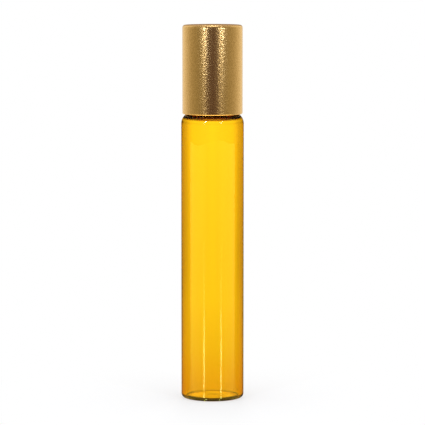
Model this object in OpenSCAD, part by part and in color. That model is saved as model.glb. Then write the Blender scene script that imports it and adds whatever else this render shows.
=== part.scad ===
// A slim glass roll-on bottle with a tall metal screw cap, closed.
// It stands on its base at z = 0 with its axis on +Z, in millimetres.

/* [Glass tube] */
// Outside diameter of the tube
tube_d = 16; // [15:0.5:20]
// Height of the straight wall, from the base to where the shoulder starts
wall_h = 70.8; // [40:0.1:90]
// Thickness of the tube's wall
glass_t = 0.9; // [0.7:0.05:1.2]
// Radius of the shoulder's arc
shoulder_r = 3; // [3:0.5:6]
// Height of the hollow's flat top above the start of the shoulder
ceiling_h = 1.55; // [1.2:0.05:1.7]
// Rounding between the inner wall and the hollow's flat top
inner_shoulder_r = 1.2; // [0.6:0.1:1.2]
// Thickness of the glass floor
floor_t = 0.6; // [0.5:0.1:3]
// Height of the push-up in the middle of the base
push_up_h = 0.5; // [0.3:0.1:1.5]
// Width of the flat ring that the bottle stands on
foot_w = 1.1; // [0.5:0.1:2]
// Rounding of the outer edge at the base
heel_r = 1; // [0.2:0.1:1.2]
// Rounding between the inner wall and the floor
floor_r = 0.7; // [0.5:0.1:2.5]

/* [Glass neck] */
// Outside diameter of the neck, without its thread
neck_d = 11.5; // [10.5:0.1:12]
// Height of the neck's lip above the start of the shoulder
neck_h = 14.2; // [14:0.1:20]
// Diameter of the bore in the neck
bore_d = 9; // [8:0.1:9.5]
// Concave rounding where the shoulder meets the neck
neck_fillet_r = 0.8; // [0.3:0.1:1]
// Rounding of the lip's outer edge
lip_r = 0.4; // [0.2:0.1:0.8]

/* [Screw thread] */
// Rise of the thread in one turn
pitch = 3; // [2.6:0.1:3.4]
// Depth of the thread
thread_h = 0.65; // [0.4:0.05:0.9]
// Width of a thread at its root
thread_root_w = 1.4; // [1.1:0.1:1.6]
// Width of a thread at its crest
thread_crest_w = 0.6; // [0.3:0.1:0.8]
// Turns of the thread on the neck
neck_turns = 1.75; // [1:0.25:2]
// Turns of the thread in the cap
cap_turns = 1.5; // [1:0.25:2]
// Plain height between the neck's thread and its lip
lip_band_h = 2.75; // [2:0.05:4]
// Radial clearance between a thread's crest and the wall that it faces
thread_gap = 0.25; // [0.15:0.05:0.4]
// Clearance between the flanks of the two threads, along the axis
flank_gap = 0.15; // [0.05:0.05:0.3]

/* [Ball and housing] */
// Diameter of the ball
ball_d = 8; // [7:0.1:8.4]
// Height of the ball's centre above the lip
ball_lift = 4.2; // [3.8:0.1:5]
// Clearance between the ball and its socket
socket_gap = 0.08; // [0.04:0.01:0.1]
// Height of the housing's rim above the ball's centre
grip_h = 1.5; // [1:0.1:2]
// Thickness of the housing's wall round the ball, at the ball's middle
collar_t = 1.2; // [1:0.05:1.25]
// Rounding of the housing's rim
collar_r = 1; // [0.4:0.1:1]
// Thickness of the flange that sits on the lip
flange_t = 1; // [0.6:0.1:1.4]
// Distance from the neck's outside to the flange's edge
flange_inset = 0.05; // [0:0.05:0.3]
// Length of the plug that goes into the neck
plug_h = 7; // [5:0.5:8]
// Thickness of the plug's wall
plug_t = 1.2; // [0.8:0.1:1.5]
// Clearance between the plug's wall and the bore
plug_gap = 0.1; // [0.05:0.05:0.2]
// Clearance between the plug's sealing ribs and the bore, as fitted
seal_gap = 0.01; // [0.01:0.01:0.03]
// Radius of a sealing rib's round edge
seal_rib_r = 0.35; // [0.2:0.05:0.5]
// Number of sealing ribs on the plug
seal_rib_count = 3; // [1:1:4]
// Diameter of the hole that feeds the ball
feed_d = 3.2; // [2:0.1:4]
// Thickness of the plate that the ball sits on
seat_t = 1; // [0.6:0.1:1.4]
// Radius of a feed groove in the socket
groove_r = 0.35; // [0.2:0.05:0.5]
// Number of feed grooves in the socket
groove_count = 4; // [0:1:8]

/* [Cap] */
// Thickness of the metal shell
shell_t = 0.4; // [0.3:0.05:0.6]
// Rounding of the shell's top edge
shell_r = 0.75; // [0.4:0.05:1.5]
// Radius of the rolled hem at the shell's lower edge
hem_r = 0.33; // [0.25:0.01:0.4]
// Height of the shell's lower edge above the shoulder
rim_gap = 0.25; // [0.2:0.05:2]
// Thickness of the liner's wall behind its thread
liner_t = 0.45; // [0.35:0.05:1]
// Thickness of the liner's top
liner_top_t = 1.15; // [0.8:0.05:2]
// Distance from the shell's lower edge up to the liner
liner_recess = 1.2; // [0.8:0.1:2]
// Radial clearance between the neck and the liner above its thread
liner_gap = 0.4; // [0.3:0.05:0.5]
// Height that the liner's rib stands out towards the shell
liner_rib_h = 0.18; // [0.1:0.01:0.3]
// Radius of a liner rib's round edge
liner_rib_r = 0.3; // [0.2:0.05:0.5]
// Number of ribs round the liner
liner_rib_count = 24; // [0:1:36]
// Clearance between the liner's ribs and the shell
shell_gap = 0.02; // [0.01:0.01:0.05]
// Layer of glue between the liner's top and the shell
glue_t = 0.05; // [0:0.01:0.1]
// Bevel at the liner's mouth
mouth_bevel = 0.3; // [0:0.05:0.4]

/* [Seal pad] */
// Thickness of the pad
pad_t = 1.15; // [0.6:0.05:2]
// Clearance between the pad and the ball
pad_gap = 0.05; // [0.02:0.01:0.1]
// Radial clearance between the pad and the liner
pad_side_gap = 0.1; // [0.05:0.05:0.3]
// Rounding of the pad's edges
pad_r = 0.2; // [0.1:0.05:0.3]
// Radius of the bead that holds the pad in the liner
bead_r = 0.3; // [0.2:0.05:0.4]

/* [Hidden] */

$fn = 96;

// How far a cut runs past the face that it opens
overrun = 1;
// How far a thread's root is sunk into its wall
thread_sink = 0.25;
// Length of the cone between the liner's two bores
liner_cone_h = 0.5;
// Height from the lip down to the top of that cone
liner_cone_drop = 0.3;

thread_steps_per_turn = 36;
// Share of a turn over which a thread runs out into its wall
thread_fade_share = 0.14;
// Share of a turn that the cap's thread starts below the neck's
thread_lead_share = 0.25;
// Angle up from the feed hole at which a groove in the socket ends
groove_end_angle = 78;

glass_color = [0.85, 0.6, 0.1, 0.6];
gold_color = [0.83, 0.68, 0.42];
steel_color = [0.75, 0.76, 0.78];
housing_color = [0.93, 0.93, 0.9];
liner_color = [0.96, 0.96, 0.95];
pad_color = [0.88, 0.9, 0.92];

// Heights and radii of the glass
tube_r = tube_d / 2;
tube_inner_r = tube_r - glass_t;
neck_r = neck_d / 2;
bore_r = bore_d / 2;
lip_z = wall_h + neck_h;
foot_inner_r = tube_r - heel_r - foot_w;
push_up_r = (foot_inner_r * foot_inner_r + push_up_h * push_up_h) / (2 * push_up_h);
push_up_z = push_up_h - push_up_r;
shoulder_x = tube_r - shoulder_r;

// Heights of the two threads, at the middle of their lower ends
thread_slope = (thread_root_w - thread_crest_w) / (2 * thread_h);
neck_thread_z = lip_z - lip_band_h - pitch * neck_turns;
thread_offset = thread_root_w - thread_slope * (thread_h + thread_gap) + flank_gap;
cap_thread_z = neck_thread_z - thread_offset - pitch * thread_lead_share;

// Heights and radii of the ball and its housing
ball_r = ball_d / 2;
ball_z = lip_z + ball_lift;
socket_r = ball_r + socket_gap;
housing_top_z = ball_z + grip_h;
collar_outer_r = socket_r + collar_t;
flange_r = neck_r - flange_inset;
plug_r = bore_r - plug_gap;
plug_inner_r = plug_r - plug_t;
feed_r = feed_d / 2;
seat_z = ball_z - sqrt(socket_r * socket_r - feed_r * feed_r);
seal_rib_x = bore_r - seal_gap - seal_rib_r;
seal_rib_step = plug_h / (seal_rib_count + 1);

// Heights and radii of the cap and the pad. The closed cap clears the shoulder by
// rim_gap at whichever comes nearer to it, the shell's hem or the liner's mouth.
liner_bore_r = neck_r + thread_h + thread_gap;
liner_upper_r = neck_r + liner_gap;
liner_core_r = liner_bore_r + liner_t;
liner_r = liner_core_r + liner_rib_h;
shell_inner_r = liner_r + shell_gap;
cap_r = shell_inner_r + shell_t;
pad_bottom_z = ball_z + ball_r + pad_gap;
pad_top_z = pad_bottom_z + pad_t;
pad_outer_r = liner_upper_r - pad_side_gap;
bead_z = pad_bottom_z - bead_r - pad_gap;
liner_top_z = pad_top_z + liner_top_t;
shell_ceiling_z = liner_top_z + glue_t;
cap_top_z = shell_ceiling_z + shell_t;
hem_inner_r = cap_r - 2 * hem_r;
rim_z = wall_h + rim_gap + max(
    arc_height(shoulder_r, hem_inner_r - shoulder_x),
    arc_height(shoulder_r, liner_bore_r - shoulder_x) - liner_recess
);
liner_bottom_z = rim_z + liner_recess;
liner_cone_z = lip_z - liner_cone_drop - liner_cone_h;

// Height of a circle's edge above its centre, this far to one side, or 0 past the circle
function arc_height(radius, side) =
    abs(side) < radius ? sqrt(radius * radius - side * side) : 0;

// A rectangle in the turned profile, from one radius and height to another
module band(inner_r, outer_r, low_z, high_z) {
    translate([inner_r, low_z])
        square([outer_r - inner_r, high_z - low_z]);
}

// A band whose outer corners are rounded, below by low_r and above by high_r
module rounded_band(outer_r, low_z, high_z, low_r, high_r) {
    middle_z = (low_z + high_z) / 2;
    band(0, outer_r, low_z + low_r, high_z - high_r);
    if (low_r > 0) {
        band(0, outer_r - low_r, low_z, middle_z);
        translate([outer_r - low_r, low_z + low_r])
            circle(low_r);
    }
    if (high_r > 0) {
        band(0, outer_r - high_r, middle_z, high_z);
        translate([outer_r - high_r, high_z - high_r])
            circle(high_r);
    }
}

// A helical ridge on a round wall. It stands outwards where crest_r is the
// larger radius, and inwards where it is the smaller, as in a cap.
module thread(root_r, crest_r, low_z, start_angle, turns) {
    steps = round(turns * thread_steps_per_turn);
    fade_steps = thread_fade_share * thread_steps_per_turn;
    way = crest_r > root_r ? 1 : -1;
    sunk_r = root_r - way * thread_sink;
    sunk_w = thread_root_w + 2 * thread_slope * thread_sink;

    points = [
        for (i = [0:steps])
            let (
                angle = start_angle + 360 * i / thread_steps_per_turn,
                z = low_z + pitch * i / thread_steps_per_turn,
                fade = min(1, i / fade_steps, (steps - i) / fade_steps),
                top_r = sunk_r + way * thread_sink / 2
                    + (crest_r - sunk_r - way * thread_sink / 2) * fade,
                section = [
                    [sunk_r, -sunk_w / 2],
                    [top_r, -thread_crest_w / 2],
                    [top_r, thread_crest_w / 2],
                    [sunk_r, sunk_w / 2]
                ]
            )
            for (p = section)
                [p[0] * cos(angle), p[0] * sin(angle), z + p[1]]
    ];
    sides = [
        for (i = [0:steps - 1], j = [0:3])
            let (
                a = 4 * i + j,
                b = 4 * i + (j + 1) % 4
            )
            each [[a, b, a + 4], [b, b + 4, a + 4]]
    ];
    first = [[2, 1, 0], [3, 2, 0]];
    last = [for (f = first) [for (k = [2:-1:0]) f[k] + 4 * steps]];
    all_faces = concat(first, sides, last);
    polyhedron(points, way > 0 ? all_faces : [for (f = all_faces) [f[2], f[1], f[0]]]);
}

// The solid shoulder, from the tube's outside in to the neck
module shoulder_profile() {
    fillet_x = neck_r + neck_fillet_r;
    fillet_z = wall_h + arc_height(shoulder_r + neck_fillet_r, fillet_x - shoulder_x);

    intersection() {
        translate([shoulder_x, wall_h])
            circle(shoulder_r);
        band(0, tube_r, wall_h - shoulder_r, lip_z);
    }
    difference() {
        polygon([
            [shoulder_x, wall_h],
            [fillet_x, fillet_z],
            [bore_r, fillet_z]
        ]);
        translate([fillet_x, fillet_z])
            circle(neck_fillet_r);
    }
}

// The hollow of the bottle: the tube's inside up to its flat top, and the bore. The glass
// is thicker in the shoulder than in the wall, because it gathers there as it is formed.
module hollow_profile() {
    inner_floor_z = push_up_h + floor_t - floor_rise();
    difference() {
        union() {
            rounded_band(tube_inner_r, inner_floor_z, wall_h + ceiling_h, floor_r, inner_shoulder_r);
            band(0, bore_r, wall_h, lip_z + overrun);
        }
        translate([0, push_up_z])
            circle(push_up_r + floor_t);
    }
}

// How far the domed floor falls from its middle to where its corner rounds up
function floor_rise() =
    push_up_r + floor_t - arc_height(push_up_r + floor_t, tube_inner_r - floor_r);

module glass_bottle() {
    color(glass_color)
        union() {
            rotate_extrude()
                difference() {
                    union() {
                        rounded_band(tube_r, 0, wall_h, heel_r, 0);
                        shoulder_profile();
                        rounded_band(neck_r, wall_h - shoulder_r, lip_z, 0, lip_r);
                    }
                    hollow_profile();
                    translate([0, push_up_z])
                        circle(push_up_r);
                }
            thread(neck_r, neck_r + thread_h, neck_thread_z, 0, neck_turns);
        }
}

// A groove in the socket that lets liquid past the ball
module feed_groove() {
    translate([0, 0, ball_z])
        rotate([90, 0, 0])
            rotate([0, 0, -90])
                rotate_extrude(angle = groove_end_angle)
                    translate([socket_r, 0])
                        circle(groove_r, $fn = 32);
}

module ball_housing() {
    color(housing_color)
        difference() {
            rotate_extrude()
                difference() {
                    union() {
                        band(0, plug_r, lip_z - plug_h, lip_z);
                        for (i = [1:seal_rib_count])
                            translate([seal_rib_x, lip_z - i * seal_rib_step])
                                circle(seal_rib_r);
                        rounded_band(flange_r, lip_z, lip_z + flange_t, 0, flange_t / 4);
                        rounded_band(collar_outer_r, lip_z, housing_top_z, 0, collar_r);
                    }
                    band(0, plug_inner_r, lip_z - plug_h - overrun, seat_z - seat_t);
                    band(0, feed_r, seat_z - seat_t - overrun, ball_z);
                    translate([0, ball_z])
                        circle(socket_r);
                }
            for (i = [1:groove_count])
                rotate([0, 0, i * 360 / groove_count])
                    feed_groove();
        }
}

module roller_ball() {
    color(steel_color)
        translate([0, 0, ball_z])
            sphere(ball_r);
}

module seal_pad() {
    color(pad_color)
        rotate_extrude()
            rounded_band(pad_outer_r, pad_bottom_z, pad_top_z, pad_r, pad_r);
}

module cap_liner() {
    color(liner_color)
        union() {
            rotate_extrude() {
                difference() {
                    band(0, liner_core_r, liner_bottom_z, liner_top_z);
                    band(0, liner_bore_r, liner_bottom_z - overrun, liner_cone_z);
                    band(0, liner_upper_r, liner_bottom_z, pad_top_z);
                    polygon([
                        [0, liner_bottom_z],
                        [liner_bore_r, liner_cone_z],
                        [liner_upper_r, liner_cone_z + liner_cone_h],
                        [0, liner_cone_z + liner_cone_h]
                    ]);
                    polygon([
                        [0, liner_bottom_z - overrun],
                        [liner_bore_r + mouth_bevel + overrun, liner_bottom_z - overrun],
                        [liner_bore_r, liner_bottom_z + mouth_bevel],
                        [0, liner_bottom_z + mouth_bevel]
                    ]);
                }
                translate([liner_upper_r, bead_z])
                    circle(bead_r);
            }
            for (i = [1:liner_rib_count])
                rotate([0, 0, i * 360 / liner_rib_count])
                    translate([liner_r - liner_rib_r, 0, liner_bottom_z])
                        cylinder(h = liner_top_z - liner_bottom_z, r = liner_rib_r, $fn = 32);
            thread(
                liner_bore_r,
                liner_bore_r - thread_h,
                cap_thread_z,
                -360 * thread_lead_share,
                cap_turns
            );
        }
}

module cap_shell() {
    color(gold_color)
        rotate_extrude() {
            difference() {
                rounded_band(cap_r, rim_z + hem_r, cap_top_z, 0, shell_r);
                rounded_band(
                    shell_inner_r,
                    rim_z + hem_r - overrun,
                    shell_ceiling_z,
                    0,
                    max(shell_r - shell_t, 0)
                );
            }
            translate([cap_r - hem_r, rim_z + hem_r])
                circle(hem_r);
        }
}

glass_bottle();
ball_housing();
roller_ball();
seal_pad();
cap_liner();
cap_shell();
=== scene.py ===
# %% [markdown]
# A slim roll-on bottle in amber glass, closed by a tall gold cap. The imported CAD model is
# the frame: it gives every piece its place and its motion. This script dresses it. The
# visible glass, the cap's shell and the liner are remade as finer turned meshes, because
# light that bends through glass or slides along metal shows every facet. The housing, the
# ball and the pad keep their CAD shapes and get real finishes.

# %% The frame and its size
import math

import bpy
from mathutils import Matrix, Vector


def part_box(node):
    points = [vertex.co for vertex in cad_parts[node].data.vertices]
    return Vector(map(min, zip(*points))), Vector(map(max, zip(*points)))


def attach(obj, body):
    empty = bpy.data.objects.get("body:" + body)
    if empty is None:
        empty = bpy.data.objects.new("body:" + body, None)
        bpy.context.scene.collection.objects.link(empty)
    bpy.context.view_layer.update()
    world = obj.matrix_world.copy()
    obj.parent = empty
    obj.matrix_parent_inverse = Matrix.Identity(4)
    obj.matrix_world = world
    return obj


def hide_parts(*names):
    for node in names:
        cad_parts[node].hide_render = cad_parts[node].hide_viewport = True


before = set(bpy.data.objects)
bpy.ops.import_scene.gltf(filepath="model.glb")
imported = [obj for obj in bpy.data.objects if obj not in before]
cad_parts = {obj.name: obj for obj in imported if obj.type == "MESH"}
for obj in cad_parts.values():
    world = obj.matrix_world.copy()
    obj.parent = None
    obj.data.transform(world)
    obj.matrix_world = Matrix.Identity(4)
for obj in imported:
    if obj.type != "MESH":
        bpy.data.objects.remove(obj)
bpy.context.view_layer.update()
MM = 0.001

# %% [markdown]
# Materials and Geometry Nodes are both graphs of small sums. Linking Math nodes by hand is
# slow to write and hard to read, so one small class wraps a socket: an ordinary Python
# expression on it adds the nodes. A second class makes any other node in one call.

# %% Sums on sockets, and one way to make any node
class Value:
    """A number that flows through a node tree. Sums on it add Math nodes."""

    def __init__(self, tree, socket):
        self.tree = tree
        self.socket = socket

    def math(self, operation, *others):
        node = self.tree.nodes.new("ShaderNodeMath")
        node.operation = operation
        for slot, item in zip(node.inputs, (self, *others)):
            feed(self.tree, slot, item)
        return Value(self.tree, node.outputs[0])

    def reflected(self, operation, other):
        node = self.tree.nodes.new("ShaderNodeMath")
        node.operation = operation
        feed(self.tree, node.inputs[0], other)
        feed(self.tree, node.inputs[1], self)
        return Value(self.tree, node.outputs[0])

    def __add__(self, other): return self.math("ADD", other)
    def __radd__(self, other): return self.math("ADD", other)
    def __sub__(self, other): return self.math("SUBTRACT", other)
    def __rsub__(self, other): return self.reflected("SUBTRACT", other)
    def __mul__(self, other): return self.math("MULTIPLY", other)
    def __rmul__(self, other): return self.math("MULTIPLY", other)
    def __truediv__(self, other): return self.math("DIVIDE", other)
    def __rtruediv__(self, other): return self.reflected("DIVIDE", other)
    def __abs__(self): return self.math("ABSOLUTE")

    def clamped(self):
        return self.math("MAXIMUM", 0.0).math("MINIMUM", 1.0)

    def smooth(self):
        """From 0 to 1 with a soft start and end, for a value that runs from 0 to 1."""
        inside = self.clamped()
        return inside * inside * (3.0 - 2.0 * inside)

    def rise(self, start, end):
        """0 below start, 1 above end, and smooth between them."""
        return ((self - start) / (end - start)).smooth()


def feed(tree, slot, item):
    """Links a Value or a socket to an input, or sets a plain value on it."""
    if isinstance(item, Value):
        tree.links.new(item.socket, slot)
    elif isinstance(item, bpy.types.NodeSocket):
        tree.links.new(item, slot)
    elif slot.type == "RGBA" and len(item) == 3:
        slot.default_value = (*item, 1.0)
    else:
        slot.default_value = item


class Graph:
    """A node tree with short ways to add nodes."""

    def __init__(self, tree):
        self.tree = tree

    def node(self, kind, settings=None, inputs=None):
        """Adds a node. Its settings come first, because they can change its sockets."""
        node = self.tree.nodes.new(kind)
        for name, setting in (settings or {}).items():
            setattr(node, name, setting)
        for name, item in (inputs or {}).items():
            feed(self.tree, node.inputs[name], item)
        return node

    def value(self, kind, output, settings=None, inputs=None):
        return Value(self.tree, self.node(kind, settings, inputs).outputs[output])

    def blend(self, factor, first, second):
        """A colour that runs from first to second."""
        node = self.node("ShaderNodeMix", {"data_type": "RGBA"})
        feed(self.tree, node.inputs[0], factor)
        feed(self.tree, node.inputs[6], first)
        feed(self.tree, node.inputs[7], second)
        return node.outputs[2]

    def scaled(self, colour, factor):
        """A colour made brighter or darker by a factor."""
        node = self.node("ShaderNodeVectorMath", {"operation": "SCALE"})
        feed(self.tree, node.inputs[0], colour)
        feed(self.tree, node.inputs["Scale"], factor)
        return node.outputs[0]

    def ramp(self, factor, stops):
        """A colour ramp with stops at (position, colour)."""
        node = self.node("ShaderNodeValToRGB", inputs={"Fac": factor})
        elements = node.color_ramp.elements
        while len(elements) < len(stops):
            elements.new(0.5)
        for element, (position, colour) in zip(elements, stops):
            element.position = position
            element.color = (*colour, 1.0)
        return node.outputs["Color"]


def new_material(name):
    """An empty node material, its graph and its output node."""
    material = bpy.data.materials.new(name)
    material.use_nodes = True
    material.node_tree.nodes.clear()
    graph = Graph(material.node_tree)
    return material, graph, graph.node("ShaderNodeOutputMaterial")


print("shader helpers ready")

# %% [markdown]
# Amber glass is clear and glossy, and its colour is in the mass of the glass, not on its
# surface. Paint or a tinted surface would give one flat yellow. Here light loses blue and
# some green for every millimetre it travels in the glass, so the thin walls come out golden
# and the long ways round the edges come out brown, as on the real bottle. The absorption
# is written as what a ray keeps after it has crossed both walls, 1.8 mm. Drawn glass is
# never quite even, so a very faint, long wave bends its reflections.

# %% Amber glass
glass_kept = (0.88, 0.505, 0.006)
glass_way = 1.8 * MM
loss = [-math.log(kept) / glass_way for kept in glass_kept]
glass_density = max(loss)
glass_tint = [1.0 - part / glass_density for part in loss]

amber_glass, graph, output = new_material("amber_glass")
place = graph.node("ShaderNodeTexCoord").outputs["Object"]
stretched = graph.node("ShaderNodeMapping", inputs={"Vector": place, "Scale": (1.0, 1.0, 0.25)})
waves = graph.value("ShaderNodeTexNoise", "Fac", inputs={
    "Vector": stretched.outputs["Vector"], "Scale": 160.0, "Detail": 1.0})
wavy = graph.node("ShaderNodeBump", inputs={
    "Height": waves, "Strength": 0.35, "Distance": 0.00012})
glass = graph.node("ShaderNodeBsdfPrincipled", inputs={
    "Base Color": (1.0, 1.0, 1.0),
    "Roughness": 0.0,
    "IOR": 1.52,
    "Transmission Weight": 1.0,
    "Normal": wavy.outputs["Normal"]})
tint = graph.node("ShaderNodeVolumeAbsorption", inputs={
    "Color": glass_tint, "Density": glass_density})
feed(graph.tree, output.inputs["Surface"], glass.outputs[0])
feed(graph.tree, output.inputs["Volume"], tint.outputs[0])
print("glass absorbs", round(glass_density), "per metre, tint", [round(c, 4) for c in glass_tint])

# %% [markdown]
# The cap's shell is drawn aluminium, etched to a fine satin and anodised pale gold. A
# mirror gold would show sharp strips of light, while the real one spreads them and breaks
# their edges into fine sparkling grain. So the metal has an even, soft roughness, and one
# noise as fine as the etch does two things: it tips the surface a little in every
# direction, and it makes the etch's high points slightly lighter and rougher. Tipping
# alone would be too weak to see beside the highlights, and a coarser noise would look
# hammered.

# %% Satin gold
etch_per_m = 2600.0
etch_depth = 0.00003
gold_aluminium, graph, output = new_material("gold_aluminium")
place = graph.node("ShaderNodeTexCoord").outputs["Object"]
grain = graph.value("ShaderNodeTexNoise", "Fac", inputs={
    "Vector": place, "Scale": etch_per_m, "Detail": 0.0})
etched = graph.node("ShaderNodeBump", inputs={
    "Height": grain, "Strength": 1.0, "Distance": etch_depth})
gold = graph.node("ShaderNodeBsdfPrincipled", inputs={
    "Base Color": graph.blend(grain.rise(0.3, 0.7), (0.8, 0.512, 0.18), (0.92, 0.6, 0.225)),
    "Metallic": 1.0,
    "Roughness": 0.255 + 0.04 * grain,
    "Coat Weight": 0.2,
    "Coat Roughness": 0.2,
    "Coat IOR": 1.5,
    "Normal": etched.outputs["Normal"]})
feed(graph.tree, output.inputs["Surface"], gold.outputs[0])
print("gold ready, one grain is", round(1000 / etch_per_m, 2), "mm")

# %% [markdown]
# Four pieces are seen once the cap is off. The liner is white moulded plastic with a fine
# mould texture. The housing is natural polyethylene, waxy and a little cloudy. The pad is
# closed-cell foam, matt, with small round cells that Voronoi noise draws well. The ball is
# polished steel, whose only marks are hair-fine scratches from rolling.

# %% Plastics, foam and steel
def plastic(name, light, dark, roughness, cell, depth):
    """A moulded plastic: two close tones in soft clouds, and a fine texture from the mould."""
    material, graph, output = new_material(name)
    place = graph.node("ShaderNodeTexCoord").outputs["Object"]
    cloud = graph.value("ShaderNodeTexNoise", "Fac", inputs={
        "Vector": place, "Scale": 300.0, "Detail": 2.0})
    spark = graph.value("ShaderNodeTexNoise", "Fac", inputs={
        "Vector": place, "Scale": 1.0 / cell, "Detail": 2.0})
    bump = graph.node("ShaderNodeBump", inputs={
        "Height": spark, "Strength": 0.3, "Distance": depth})
    body = graph.node("ShaderNodeBsdfPrincipled", inputs={
        "Base Color": graph.blend(cloud, dark, light),
        "Roughness": roughness + 0.1 * spark,
        "IOR": 1.5,
        "Normal": bump.outputs["Normal"]})
    feed(graph.tree, output.inputs["Surface"], body.outputs[0])
    return material


liner_plastic = plastic(
    "liner_plastic", (0.84, 0.84, 0.82), (0.8, 0.8, 0.78), 0.3, 0.25 * MM, 0.00001)
housing_plastic = plastic(
    "housing_plastic", (0.8, 0.81, 0.78), (0.74, 0.75, 0.71), 0.22, 0.4 * MM, 0.00001)

pad_foam, graph, output = new_material("pad_foam")
place = graph.node("ShaderNodeTexCoord").outputs["Object"]
cells = graph.value("ShaderNodeTexVoronoi", "Distance", inputs={"Vector": place, "Scale": 4500.0})
soft = graph.node("ShaderNodeBump", inputs={"Height": cells, "Strength": 0.6, "Distance": 0.00005})
foam = graph.node("ShaderNodeBsdfPrincipled", inputs={
    "Base Color": graph.blend(cells.clamped(), (0.66, 0.65, 0.62), (0.8, 0.79, 0.76)),
    "Roughness": 0.75 + 0.2 * cells.clamped(),
    "Normal": soft.outputs["Normal"]})
feed(graph.tree, output.inputs["Surface"], foam.outputs[0])

ball_steel, graph, output = new_material("ball_steel")
place = graph.node("ShaderNodeTexCoord").outputs["Object"]
streaks = graph.node("ShaderNodeMapping", inputs={"Vector": place, "Scale": (9000.0, 350.0, 350.0)})
scratches = graph.value("ShaderNodeTexNoise", "Fac", inputs={
    "Vector": streaks.outputs["Vector"], "Scale": 1.0, "Detail": 2.0})
steel = graph.node("ShaderNodeBsdfPrincipled", inputs={
    "Base Color": graph.blend(scratches, (0.58, 0.59, 0.61), (0.66, 0.67, 0.69)),
    "Metallic": 1.0,
    "Roughness": 0.04 + 0.08 * scratches.rise(0.5, 0.75)})
feed(graph.tree, output.inputs["Surface"], steel.outputs[0])
print("plastics, foam and steel ready")

# %% [markdown]
# The glass, the shell and the liner are all turned shapes: one outline carried round an
# axis. A Screw modifier could turn them, but not raise a thread on the wall while it turns.
# So a Geometry Nodes tree does both. It takes the outline as a line of points, lays a flat
# grid with one row for each point, rolls the grid round the axis, and lifts each vertex by
# how near it is to the helix. Being one closed surface, the glass then bends light as one
# piece, where a separate thread stuck on it would show its hidden inner faces.

# %% The tree that turns an outline and raises a thread on it
def add_input(tree, name, kind, default=None):
    item = tree.interface.new_socket(name, in_out="INPUT", socket_type=kind)
    if default is not None:
        item.default_value = default
    return item.identifier


def turning_tree():
    """Returns the tree and its inputs' identifiers by name."""
    tree = bpy.data.node_groups.new("turned_with_thread", "GeometryNodeTree")
    graph = Graph(tree)
    ids = {"Outline": add_input(tree, "Outline", "NodeSocketGeometry")}
    ids["Steps"] = add_input(tree, "Steps", "NodeSocketInt", 192)
    for name in ("Wall radius", "Start height", "Start turn", "Pitch", "Turns",
                 "Thread height", "Root width", "Crest width", "Run out"):
        ids[name] = add_input(tree, name, "NodeSocketFloat", 1.0)
    ids["Material"] = add_input(tree, "Material", "NodeSocketMaterial")
    tree.interface.new_socket("Mesh", in_out="OUTPUT", socket_type="NodeSocketGeometry")

    given = graph.node("NodeGroupInput").outputs
    number = {name: Value(tree, given[name]) for name in ids if name not in ("Outline", "Material")}
    rows = graph.value("GeometryNodeAttributeDomainSize", "Point Count",
                       inputs={"Geometry": given["Outline"]})
    grid = graph.node("GeometryNodeMeshGrid", inputs={
        "Size X": 1.0, "Size Y": 1.0,
        "Vertices X": number["Steps"] + 1.0, "Vertices Y": rows})
    here = graph.node("GeometryNodeInputPosition").outputs[0]
    flat = graph.node("ShaderNodeSeparateXYZ", inputs={"Vector": here})
    turn = Value(tree, flat.outputs["X"]) + 0.5
    row = ((Value(tree, flat.outputs["Y"]) + 0.5) * (rows - 1.0)).math("ROUND")

    point = graph.node("GeometryNodeSampleIndex", {"data_type": "FLOAT_VECTOR"}, {
        "Geometry": given["Outline"], "Value": here, "Index": row})
    outline = graph.node("ShaderNodeSeparateXYZ", inputs={"Vector": point.outputs[0]})
    radius = Value(tree, outline.outputs["X"])
    height = Value(tree, outline.outputs["Z"])

    rise = (height - number["Start height"]) / number["Pitch"]
    from_start = turn - number["Start turn"]
    turns_up = from_start + (rise - from_start).math("ROUND")
    off_helix = abs(rise - turns_up) * number["Pitch"]
    flank = (number["Root width"] - number["Crest width"]) / 2.0
    ridge = ((number["Root width"] / 2.0 - off_helix) / flank).smooth()
    to_end = turns_up.math("MINIMUM", number["Turns"] - turns_up)
    run_out = (to_end / number["Run out"]).smooth()
    on_wall = abs(radius - number["Wall radius"]).math("LESS_THAN", 0.00001)
    turned_radius = radius + number["Thread height"] * ridge * run_out * on_wall

    angle = turn * math.tau
    rolled = graph.node("ShaderNodeCombineXYZ", inputs={
        "X": turned_radius * angle.math("COSINE"),
        "Y": turned_radius * angle.math("SINE"),
        "Z": height})
    placed = graph.node("GeometryNodeSetPosition", inputs={
        "Geometry": grid.outputs["Mesh"], "Position": rolled.outputs[0]})
    closed = graph.node("GeometryNodeMergeByDistance", inputs={
        "Geometry": placed.outputs[0], "Distance": 0.000001})
    bend = graph.value("GeometryNodeInputMeshEdgeAngle", "Unsigned Angle")
    soft = graph.node("GeometryNodeSetShadeSmooth", {"domain": "EDGE"}, {
        "Geometry": closed.outputs[0],
        "Selection": bend.math("GREATER_THAN", math.radians(32)),
        "Shade Smooth": False})
    whole = graph.node("GeometryNodeRealizeInstances", inputs={"Geometry": soft.outputs[0]})
    dressed = graph.node("GeometryNodeSetMaterial", inputs={
        "Geometry": whole.outputs[0], "Material": given["Material"]})
    result = graph.node("NodeGroupOutput")
    tree.links.new(dressed.outputs[0], result.inputs[0])
    return tree, ids


turning, turning_ids = turning_tree()
print("turning tree has", len(turning.nodes), "nodes")

# %% [markdown]
# A tree only runs on an object that carries it as a modifier. So each piece is run once on
# a throw-away object, and the result is kept as a plain mesh, with nothing live left that
# could come out differently later. The volume inside each piece is worked out too: an
# outline that is listed the wrong way round turns its faces inwards, and would show as a
# negative volume.

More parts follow.
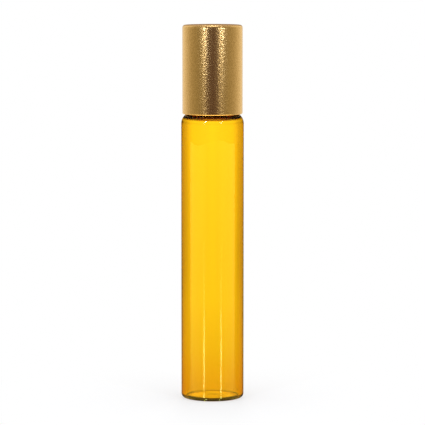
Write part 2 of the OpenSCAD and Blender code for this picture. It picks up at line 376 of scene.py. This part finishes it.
# %% Running a tree and keeping plain meshes
def run_tree(name, points, edges, tree, ids, settings):
    """Evaluates a tree on a line of points and returns the result as a plain object."""
    mesh = bpy.data.meshes.new(name)
    mesh.from_pydata(points, edges, [])
    raw = bpy.data.objects.new(name + "_raw", mesh)
    bpy.context.scene.collection.objects.link(raw)
    modifier = raw.modifiers.new("shape", "NODES")
    modifier.node_group = tree
    for title, setting in settings.items():
        modifier[ids[title]] = setting
    depsgraph = bpy.context.evaluated_depsgraph_get()
    made = bpy.data.meshes.new_from_object(raw.evaluated_get(depsgraph))
    bpy.data.objects.remove(raw)
    made.name = name
    piece = bpy.data.objects.new(name, made)
    bpy.context.scene.collection.objects.link(piece)
    return piece


def volume_mm3(piece):
    """The signed volume inside a closed mesh: positive when its faces point outwards."""
    total = 0.0
    mesh = piece.data
    mesh.calc_loop_triangles()
    for triangle in mesh.loop_triangles:
        a, b, c = (mesh.vertices[i].co for i in triangle.vertices)
        total += a.dot(b.cross(c)) / 6.0
    return total / MM ** 3


def turned(name, outline, material, steps=192, thread=None):
    """A turned piece from an outline in mm, listed so that its outer wall runs upwards."""
    points = [(r * MM, 0.0, z * MM) for r, z in outline]
    edges = [(i, i + 1) for i in range(len(points) - 1)]
    settings = {"Steps": steps, "Material": material, "Thread height": 0.0, "Run out": 1.0}
    for title, setting in (thread or {}).items():
        settings[title] = setting
    piece = run_tree(name, points, edges, turning, turning_ids, settings)
    print(name, len(piece.data.polygons), "faces,", round(volume_mm3(piece), 1), "mm3")
    return piece


# %% [markdown]
# Outlines of blown glass and drawn metal are straight walls joined by arcs, so two small
# functions write those. A wall gets one more point close to each end. Smooth shading is
# shared between neighbouring faces, and a short face at the end keeps the bend of the arc
# out of the long straight wall.

# %% Arcs and walls for outlines
def arc(centre_r, centre_z, radius, start, end, count):
    """Points along an arc in the outline, by angles in degrees from the radius upwards."""
    angles = [math.radians(start + (end - start) * i / count) for i in range(count + 1)]
    return [(centre_r + radius * math.cos(a), centre_z + radius * math.sin(a)) for a in angles]


def wall(radius, start_z, end_z, step):
    """Points up or down a straight wall, with one close to each end to hold the shading."""
    hold = 0.12 * (1 if end_z > start_z else -1)
    count = max(1, round(abs(end_z - start_z) / step))
    inner = [start_z + (end_z - start_z) * i / count for i in range(1, count)]
    return [(radius, z) for z in (start_z, start_z + hold, *inner, end_z - hold, end_z)]


def joined(*runs):
    """One outline from several runs, without the points that two runs share."""
    points = []
    for point in (p for run in runs for p in run):
        if not points or math.dist(points[-1], point) > 0.004:
            points.append(point)
    return points


# %% [markdown]
# The bottle is made from drawn glass tube: the base is pressed flat with a slight push-up,
# the shoulder is rounded in, and the neck is pressed with its thread. The outline runs
# from the middle of the push-up out over the foot, up the wall, round the shoulder, over
# the lip and down the inside. The glass is thick in the shoulder, with a flat ceiling
# inside, and the long way through it makes the dark band under the cap. The floor is thin,
# so the heel stays bright. Hot glass has no sharp corners, so the lip, the throat under
# the bore and the thread are all rounded a little more than the CAD solid, inside its box.

# %% The glass bottle
tube_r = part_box("glass_bottle")[1].x / MM
lip_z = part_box("glass_bottle")[1].z / MM
glass_t, wall_top_z, shoulder_r = 0.9, 70.8, 3.0
heel_r, foot_w, push_up_h, floor_t, floor_r = 1.0, 1.1, 0.5, 0.6, 0.7
neck_r, bore_r, fillet_r, lip_r, throat_r = 5.75, 4.5, 0.8, 0.4, 0.6

foot_r = tube_r - heel_r - foot_w
push_r = (foot_r ** 2 + push_up_h ** 2) / (2 * push_up_h)
push_z = push_up_h - push_r
floor_dome_r = push_r + floor_t
inner_r = tube_r - glass_t


def dome_z(radius, r):
    """Height of the push-up's sphere, or of the floor's above it, at a radius."""
    return push_z + math.sqrt(radius ** 2 - r ** 2)


shoulder_c = (tube_r - shoulder_r, wall_top_z)
reach = shoulder_r + fillet_r
fillet_rise = math.sqrt(reach ** 2 - (neck_r + fillet_r - shoulder_c[0]) ** 2)
fillet_c = (neck_r + fillet_r, wall_top_z + fillet_rise)
meet = math.degrees(math.atan2(fillet_c[1] - wall_top_z, fillet_c[0] - shoulder_c[0]))
inside_r, ceiling_z = 1.2, 72.35
inside_c = (inner_r - inside_r, ceiling_z - inside_r)
throat_c = (bore_r + throat_r, ceiling_z + throat_r)
floor_side = inner_r - floor_r
floor_z = dome_z(floor_dome_r, floor_side)

glass_outline = joined(
    [(r, dome_z(push_r, r)) for r in (0, 0.8, 1.6, 2.4, 3.2, 4, 4.8, 5.4, foot_r - 0.12)],
    [(foot_r, 0.012), (foot_r + 0.12, 0), (tube_r - heel_r - 0.1, 0)],
    arc(tube_r - heel_r, heel_r, heel_r, -90, 0, 10),
    wall(tube_r, heel_r, wall_top_z, 3.5),
    arc(*shoulder_c, shoulder_r, 0, meet, 24),
    arc(*fillet_c, fillet_r, 180 + meet, 180, 8),
    wall(neck_r, fillet_c[1], lip_z - lip_r, 0.12),
    arc(neck_r - lip_r, lip_z - lip_r, lip_r, 0, 90, 8),
    arc(bore_r + 0.15, lip_z - 0.15, 0.15, 90, 180, 5),
    wall(bore_r, lip_z - 0.15, throat_c[1], 1.5),
    arc(*throat_c, throat_r, 180, 270, 8),
    arc(*inside_c, inside_r, 90, 0, 16),
    wall(inner_r, inside_c[1], floor_z + floor_r, 3.5),
    arc(floor_side, floor_z + floor_r, floor_r, 0, -90, 12),
    [(r, dome_z(floor_dome_r, r)) for r in (5.8, 5.4, 4.8, 4, 3.2, 2.4, 1.6, 0.8, 0)],
)
neck_thread = {
    "Wall radius": neck_r * MM, "Start height": 77.0 * MM, "Start turn": 0.0,
    "Pitch": 3.0 * MM, "Turns": 1.75, "Thread height": 0.65 * MM,
    "Root width": 1.5 * MM, "Crest width": 0.4 * MM, "Run out": 0.14}
bottle = turned("amber_bottle", glass_outline, amber_glass, 240, neck_thread)
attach(bottle, "bottle")
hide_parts("glass_bottle")

# %% [markdown]
# The shell is drawn from thin sheet: a flat top, a small radius, a straight side, and a
# hem rolled inwards so that no raw edge touches the hand. The hem is part of the turned
# outline, because a bump would not change the rim's silhouette or catch the light from
# below.

# %% The gold shell
cap_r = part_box("cap_shell")[1].x / MM
cap_top_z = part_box("cap_shell")[1].z / MM
rim_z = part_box("cap_shell")[0].z / MM
shell_t, edge_r, hem_r = 0.4, 0.75, 0.33
bend_r = edge_r - shell_t
sheet_r = cap_r - shell_t
hem_c = (cap_r - hem_r, rim_z + hem_r)
hem_start = math.degrees(math.acos((sheet_r - hem_c[0]) / hem_r))

shell_outline = joined(
    [(r, cap_top_z - shell_t) for r in (0, 2, 4, 6)],
    arc(sheet_r - bend_r, cap_top_z - shell_t - bend_r, bend_r, 90, 0, 6),
    wall(sheet_r, cap_top_z - edge_r, hem_c[1] + 0.5, 3.0),
    arc(*hem_c, hem_r, hem_start, 360, 20),
    wall(cap_r, hem_c[1], cap_top_z - edge_r, 1.2),
    arc(cap_r - edge_r, cap_top_z - edge_r, edge_r, 0, 90, 12),
    [(r, cap_top_z) for r in (6.8, 6, 4, 2, 0)],
)
shell = turned("gold_shell", shell_outline, gold_aluminium, 240)
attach(shell, "cap")
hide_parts("cap_shell")

# %% [markdown]
# The liner does the cap's work. Its inner wall carries the thread, a small bead keeps the
# pad in its top, and 24 ribs outside grip the shell. The wall is turned with the same
# tree, with a thread height below zero so that the ridge stands inwards.

# %% The liner's wall
liner_low, liner_high = (corner.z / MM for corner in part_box("cap_liner"))
liner_bore, liner_core, recess_r = 6.65, 7.1, 6.15
pad_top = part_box("seal_pad")[1].z / MM
bead_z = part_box("seal_pad")[0].z / MM - 0.35
cone_top = lip_z - 0.3
bevel = 0.3

liner_outline = joined(
    [(r, pad_top) for r in (0, 3, 6, recess_r)],
    wall(recess_r, pad_top, bead_z + 0.3, 0.6),
    arc(recess_r, bead_z, 0.3, 90, 270, 8),
    wall(recess_r, bead_z - 0.3, cone_top, 1.5),
    wall(liner_bore, cone_top - 0.5, liner_low + bevel, 0.12),
    [(liner_bore + bevel, liner_low), (liner_core, liner_low)],
    wall(liner_core, liner_low, liner_high, 3.0),
    [(r, liner_high) for r in (6.5, 3, 0)],
)
cap_thread = {
    "Wall radius": liner_bore * MM, "Start height": 75.254 * MM, "Start turn": 0.75,
    "Pitch": 3.0 * MM, "Turns": 1.5, "Thread height": -0.65 * MM,
    "Root width": 1.5 * MM, "Crest width": 0.4 * MM, "Run out": 0.14}
liner = turned("white_liner", liner_outline, liner_plastic, 192, cap_thread)

# %% [markdown]
# The ribs repeat, so a second tree sets copies of one rib on a ring. One rib is a round
# bar, sunk into the wall, whose lowest ring of vertices is drawn in. That is the lead-in
# that lets the real liner be pressed into its shell. A bar with a separate cone under it
# would look the same and leave hidden faces between the two.

# %% The liner's ribs
def rib_tree():
    """Copies of one upright rib, its foot cut to a lead-in, on a ring about the axis."""
    tree = bpy.data.node_groups.new("ribs_on_a_ring", "GeometryNodeTree")
    graph = Graph(tree)
    ids = {"Base": add_input(tree, "Base", "NodeSocketGeometry"),
           "Count": add_input(tree, "Count", "NodeSocketInt", 24)}
    for name in ("Ring radius", "Rib radius", "Low", "High"):
        ids[name] = add_input(tree, name, "NodeSocketFloat", 0.01)
    ids["Material"] = add_input(tree, "Material", "NodeSocketMaterial")
    tree.interface.new_socket("Mesh", in_out="OUTPUT", socket_type="NodeSocketGeometry")

    given = graph.node("NodeGroupInput").outputs
    radius = Value(tree, given["Rib radius"])
    low, high = Value(tree, given["Low"]), Value(tree, given["High"])
    ring = graph.node("GeometryNodeMeshCircle", inputs={
        "Vertices": given["Count"], "Radius": given["Ring radius"]})
    bar = graph.node("GeometryNodeMeshCylinder", inputs={
        "Vertices": 16, "Side Segments": 2, "Radius": radius, "Depth": high - low})
    here = graph.node("GeometryNodeInputPosition").outputs[0]
    local = graph.node("ShaderNodeSeparateXYZ", inputs={"Vector": here})
    x, y, z = (Value(tree, local.outputs[i]) for i in range(3))
    quarter = (high - low) / 4.0
    at_foot = z.math("LESS_THAN", -1.0 * quarter)
    at_top = z.math("GREATER_THAN", quarter)
    drawn_in = 1.0 - 0.6 * at_foot
    shaped = graph.node("ShaderNodeCombineXYZ", inputs={
        "X": x * drawn_in,
        "Y": y * drawn_in,
        "Z": low + radius * (1.0 - at_foot) + (high - low - radius) * at_top})
    rib = graph.node("GeometryNodeSetPosition", inputs={
        "Geometry": bar.outputs["Mesh"], "Position": shaped.outputs[0]})
    copies = graph.node("GeometryNodeInstanceOnPoints", inputs={
        "Points": ring.outputs["Mesh"], "Instance": rib.outputs[0]})
    whole = graph.node("GeometryNodeRealizeInstances", inputs={"Geometry": copies.outputs[0]})
    dressed = graph.node("GeometryNodeSetMaterial", inputs={
        "Geometry": whole.outputs[0], "Material": given["Material"]})
    result = graph.node("NodeGroupOutput")
    tree.links.new(dressed.outputs[0], result.inputs[0])
    return tree, ids


ribs_tree, rib_ids = rib_tree()
rib_r = 0.3
ribs = run_tree("liner_ribs", [(0, 0, 0)], [], ribs_tree, rib_ids, {
    "Count": 24, "Ring radius": (liner_core + 0.18 - rib_r) * MM, "Rib radius": rib_r * MM,
    "Low": (liner_low + 0.01) * MM, "High": (liner_high - 0.01) * MM, "Material": liner_plastic})
print("ribs", len(ribs.data.polygons), "faces,", round(volume_mm3(ribs), 1), "mm3")
for piece in (liner, ribs):
    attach(piece, "cap")
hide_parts("cap_liner")

# %% [markdown]
# The housing, the ball and the pad are right as the CAD made them, with exact normals, so
# they stay and only take their finish: each material slot is given the new material.

# %% Finishes on the CAD pieces that stay
for node, material in (("ball_housing", housing_plastic), ("roller_ball", ball_steel),
                       ("seal_pad", pad_foam)):
    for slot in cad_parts[node].material_slots:
        slot.material = material
    print(node, "is", material.name)

# %% [markdown]
# The photograph is a studio shot: a bright background behind the glass, two tall narrow
# lights in front, and a dark room round the camera, which the cap mirrors as a brown band
# down its middle. What the world shows therefore depends on the kind of ray. The camera
# sees plain white. The metal mirrors a ring of light that is bright behind the object and
# dim round the camera, with a brown patch low behind it for the line along the cap's top
# edge. The glass mirrors a far darker ring, which would otherwise wash out the amber. Is
# Singular Ray tells the two apart, because only the glass is perfectly sharp. What is seen
# through the glass is the backlight. All else is lit evenly, at a level where a colour
# comes out about as it is written.

# %% The world
world = bpy.data.worlds.new("studio")
bpy.context.scene.world = world
world.use_nodes = True
world.node_tree.nodes.clear()
graph = Graph(world.node_tree)
path = graph.node("ShaderNodeLightPath").outputs
way = graph.node("ShaderNodeTexCoord").outputs["Generated"]
parts = graph.node("ShaderNodeSeparateXYZ", inputs={"Vector": way})
way_x, way_y, way_z = (Value(graph.tree, parts.outputs[i]) for i in range(3))
round_from_front = abs(way_x).math("ARCTAN2", -1.0 * way_y) / math.pi
ROOM = [
    (0.0, (0.08, 0.04, 0.035)),
    (0.1, (0.1, 0.06, 0.05)),
    (0.2, (0.24, 0.2, 0.12)),
    (0.36, (0.35, 0.3, 0.18)),
    (0.5, (0.46, 0.4, 0.28)),
    (0.62, (0.68, 0.62, 0.5)),
    (0.76, (0.93, 0.86, 0.7)),
    (0.88, (0.95, 0.88, 0.7)),
    (1.0, (0.6, 0.55, 0.45)),
]
GLASS_SEES = [
    (0.0, (0.1, 0.09, 0.08)),
    (0.5, (0.12, 0.11, 0.1)),
    (0.75, (0.03, 0.03, 0.03)),
    (0.9, (0.07, 0.04, 0.02)),
    (1.0, (0.5, 0.3, 0.1)),
]
DIM_BEHIND = (0.2, 0.09, 0.03)
CEILING = (0.35, 0.3, 0.22)
BACKLIGHT = 1.47
SIDE_LOSS, SIDE_STARTS, SIDE_FULL = 0.36, 0.017, 0.122


def behind_light(turn):
    """How bright the background is that is seen through the glass. It is full straight
    behind, and falls off to both sides, which draws the glass's dark edges. It repeats
    each quarter turn, so the bottle looks the same from its other sides."""
    nearest = (turn * 2.0).math("ROUND") / 2.0
    return 1.0 - SIDE_LOSS * abs(turn - nearest).rise(SIDE_STARTS, SIDE_FULL)


low_band = way_z.rise(0.0, 0.03) * (1.0 - way_z.rise(0.35, 0.55))
low_behind = low_band * round_from_front.rise(0.88, 0.96)
for_metal = graph.blend(low_behind, graph.ramp(round_from_front, ROOM), DIM_BEHIND)
for_metal = graph.blend(way_z.rise(0.6, 0.95), for_metal, CEILING)
for_glass = graph.ramp(round_from_front, GLASS_SEES)
mirrored = graph.blend(path["Is Singular Ray"], for_metal, for_glass)
dim_overhead = 1.0 - 0.85 * way_z.rise(0.25, 0.6)
through = graph.scaled((1.0, 1.0, 1.0), behind_light(round_from_front) * dim_overhead * BACKLIGHT)
seen = graph.blend(path["Is Glossy Ray"], (0.95, 0.95, 0.95), mirrored)
seen = graph.blend(path["Is Transmission Ray"], seen, through)
seen = graph.blend(path["Is Camera Ray"], seen, (1.0, 1.0, 1.0))
sky = graph.node("ShaderNodeBackground", inputs={"Color": seen, "Strength": 1.0})
ground = graph.node("ShaderNodeOutputWorld")
feed(graph.tree, ground.inputs["Surface"], sky.outputs[0])
print("world ready")

# %% [markdown]
# The floor is a plain pale disc. For the camera it is white with the object's soft shadow,
# and it fades into the white background. What the glass sees through it is painted light:
# a painted pool of the light that the amber bottle would throw on the table, warm close to
# the base, white further out and darker to the sides. A painted shadow, a dark ring under
# the foot where the bottle would shut out the light, draws the dark line along the base.
# For the glass alone the table is a mirror too: the two narrow lights in it draw the fine
# lines down the lower part of the glass, and the rest of the table is painted nearly black
# in the glass's reflections. The cap doesn't see that mirror, which would only flatten its
# sides. It sees a painted reflection instead: the ring of the room's light, and a painted
# glow on the table close to the bottle, which its rolled hem mirrors as the bright line of
# the rim.

# %% The floor
floor_r_m = 0.85
floor_mesh = bpy.data.meshes.new("floor")
ring = [(floor_r_m * math.cos(a), floor_r_m * math.sin(a), 0.0)
        for a in (math.tau * i / 96 for i in range(96))]
floor_mesh.from_pydata(ring, [], [tuple(range(96))])
floor = bpy.data.objects.new("floor", floor_mesh)
bpy.context.scene.collection.objects.link(floor)
floor.location.z = -0.00002

floor_white, graph, output = new_material("floor_white")
path = graph.node("ShaderNodeLightPath").outputs
place = graph.node("ShaderNodeTexCoord").outputs["Object"]
parts = graph.node("ShaderNodeSeparateXYZ", inputs={"Vector": place})
at_x, at_y = (Value(graph.tree, parts.outputs[i]) for i in range(2))
away = (at_x * at_x + at_y * at_y).math("SQRT")
round_from_front = abs(at_x).math("ARCTAN2", -1.0 * at_y) / math.pi
# Painted light: the pool that the amber bottle would throw on the table, warm near the base, white
# further out and painted darker to the sides. The glass sees it as emitted light.
PAINTED_AMBER_POOL = [
    (0.0, (0.72, 0.6, 0.35)),
    (0.0165, (0.68, 0.52, 0.3)),
    (0.095, (0.74, 0.69, 0.4)),
    (0.207, (0.83, 0.834, 0.6)),
    (0.553, (0.918, 0.918, 0.9)),
    (1.0, (1.0, 1.0, 1.0)),
]
# Painted shadow: a dark ring under the foot, where the bottle would shut out the light, weaker
# towards the back.
painted_shadow_ring = away.rise(0.0052, 0.0062) * (1.0 - away.rise(0.0076, 0.009))
painted_contact_shadow = painted_shadow_ring * (1.0 - 0.75 * round_from_front.rise(0.3, 0.55))
painted_pool = graph.ramp(away / floor_r_m, PAINTED_AMBER_POOL)
painted_side_dimming = 1.0 - (1.0 - behind_light(round_from_front)) * (0.25 + 0.75 * away.rise(0.02, 0.3))
through = graph.scaled(painted_pool, painted_side_dimming * (1.0 - 0.94 * painted_contact_shadow) * BACKLIGHT)
# Painted reflection for the metal: a glowing patch of table close to the bottle, which the hem
# mirrors as its bright line, with the room's light painted round it. The glass's reflections see
# the table painted nearly black.
PAINTED_GLOW_NEAR_BASE = (4.5, 3.8, 2.0)
painted_reflection_for_metal = graph.blend(
    away.rise(0.04, 0.09), PAINTED_GLOW_NEAR_BASE, graph.ramp(round_from_front, ROOM))
mirrored = graph.blend(path["Is Singular Ray"], painted_reflection_for_metal, (0.06, 0.055, 0.05))

matt = graph.node("ShaderNodeBsdfDiffuse", inputs={"Color": (0.93, 0.93, 0.93)})
plain = graph.node("ShaderNodeEmission", inputs={"Color": (1.0, 1.0, 1.0)})
for_camera = graph.node("ShaderNodeMixShader", inputs={0: 0.55 + 0.45 * away.rise(0.015, 0.06)})
tree = graph.tree
tree.links.new(matt.outputs[0], for_camera.inputs[1])
tree.links.new(plain.outputs[0], for_camera.inputs[2])
glow = graph.node("ShaderNodeEmission", inputs={"Color": mirrored})
in_front = (at_y * -1.0).rise(0.0, 0.012)
gloss = graph.node("ShaderNodeBsdfGlossy", inputs={
    "Color": graph.blend(in_front * path["Is Singular Ray"], (0.0, 0.0, 0.0), (3.6, 3.9, 1.2)),
    "Roughness": 0.03})
for_metal = graph.node("ShaderNodeAddShader")
tree.links.new(glow.outputs[0], for_metal.inputs[0])
tree.links.new(gloss.outputs[0], for_metal.inputs[1])
for_glass = graph.node("ShaderNodeEmission", inputs={"Color": through})
shown = matt
for flag, shader in (("Is Glossy Ray", for_metal), ("Is Transmission Ray", for_glass),
                     ("Is Camera Ray", for_camera)):
    mix = graph.node("ShaderNodeMixShader", inputs={0: path[flag]})
    tree.links.new(shown.outputs[0], mix.inputs[1])
    tree.links.new(shader.outputs[0], mix.inputs[2])
    shown = mix
tree.links.new(shown.outputs[0], output.inputs["Surface"])
floor_mesh.materials.append(floor_white)
print("floor radius", floor_r_m, "m")

# %% [markdown]
# Narrow strips stand in front, about a third of a right angle round to each side. Far off,
# a strip is stacked from four parts that get brighter upwards, because the real highlights
# fade down the cap. Two more stand near the cap, since the nearer a lamp is, the faster
# its mirror image fades along the wall: they make only the top bright, and the nearest is
# a little blue, so that gold looks paler in it. A panel above and behind is mirrored in
# the rounded top edge as the cream spot there. The lamps are hidden from the camera and
# from what is seen through the glass, so that no other view looks into their backs.

# %% The lamps
def panel(name, place, target, width, height, radiance, colour=(1.0, 1.0, 1.0)):
    """A rectangular lamp that faces target and is as bright as radiance, where 1 is white."""
    light = bpy.data.lights.new(name, "AREA")
    light.shape = "RECTANGLE"
    light.size, light.size_y = width, height
    light.energy = radiance * math.pi * width * height
    light.color = colour
    lamp = bpy.data.objects.new(name, light)
    bpy.context.scene.collection.objects.link(lamp)
    lamp.location = place
    lamp.rotation_euler = (Vector(target) - Vector(place)).to_track_quat("-Z", "Y").to_euler()
    lamp.visible_camera = False
    lamp.visible_transmission = False
    print(name, "gives", round(light.energy, 3), "W")


WHITE_LIGHT, BLUISH_LIGHT = (1.0, 1.0, 1.0), (1.0, 1.15, 1.6)
STRIPS = (
    # name, degrees round to the left and right, distance, low and high end, width,
    # radiance, colour
    ("strip_foot", (31.5, 31.5), 0.6, 0.03, 0.045, 0.036, 0.15, WHITE_LIGHT),
    ("strip_middle", (31.5, 31.5), 0.6, 0.045, 0.062, 0.036, 0.4, WHITE_LIGHT),
    ("strip_top", (31.5, 31.5), 0.6, 0.062, 0.078, 0.036, 1.8, WHITE_LIGHT),
    ("strip_head", (31.5, 31.5), 0.6, 0.078, 0.108, 0.036, 3.2, WHITE_LIGHT),
    ("high_strip", (31.5, 31.5), 0.2, 0.1, 0.21, 0.012, 6.0, WHITE_LIGHT),
    ("near_strip", (28.0, 35.5), 0.1, 0.096, 0.15, 0.0036, 19.0, BLUISH_LIGHT),
)
for side, end in enumerate(("left", "right")):
    for name, turns, distance, low, high, width, radiance, colour in STRIPS:
        turn = math.radians(turns[side])
        across = distance * math.sin(turn) * (-1, 1)[side]
        back = -distance * math.cos(turn)
        middle = (low + high) / 2.0
        panel(f"{name}_{end}", (across, back, middle), (0, 0, middle),
              width, high - low, radiance, colour)
panel("overhead", (0, 0.27, 0.46), (0, 0, 0.09), 0.08, 0.13, 9.0)

# %% [markdown]
# The camera is far away with a long lens, as product photographers work, and looks down by
# about seven degrees. Its place was worked out from the curve of the base and the cap's
# lower edge, and from how high the bottle stands in the picture.

# %% The camera
camera_data = bpy.data.cameras.new("camera")
camera = bpy.data.objects.new("camera", camera_data)
bpy.context.scene.collection.objects.link(camera)
bpy.context.scene.camera = camera
look_at = Vector((0.0, 0.0, 0.04789))
camera.location = (0.0, -0.65, 0.117)
camera.rotation_euler = (look_at - camera.location).to_track_quat("-Z", "Y").to_euler()
camera_data.lens = 215.6
camera_data.sensor_width = 36.0
camera_data.clip_start, camera_data.clip_end = 0.05, 10.0
bpy.context.scene.view_settings.view_transform = "Standard"
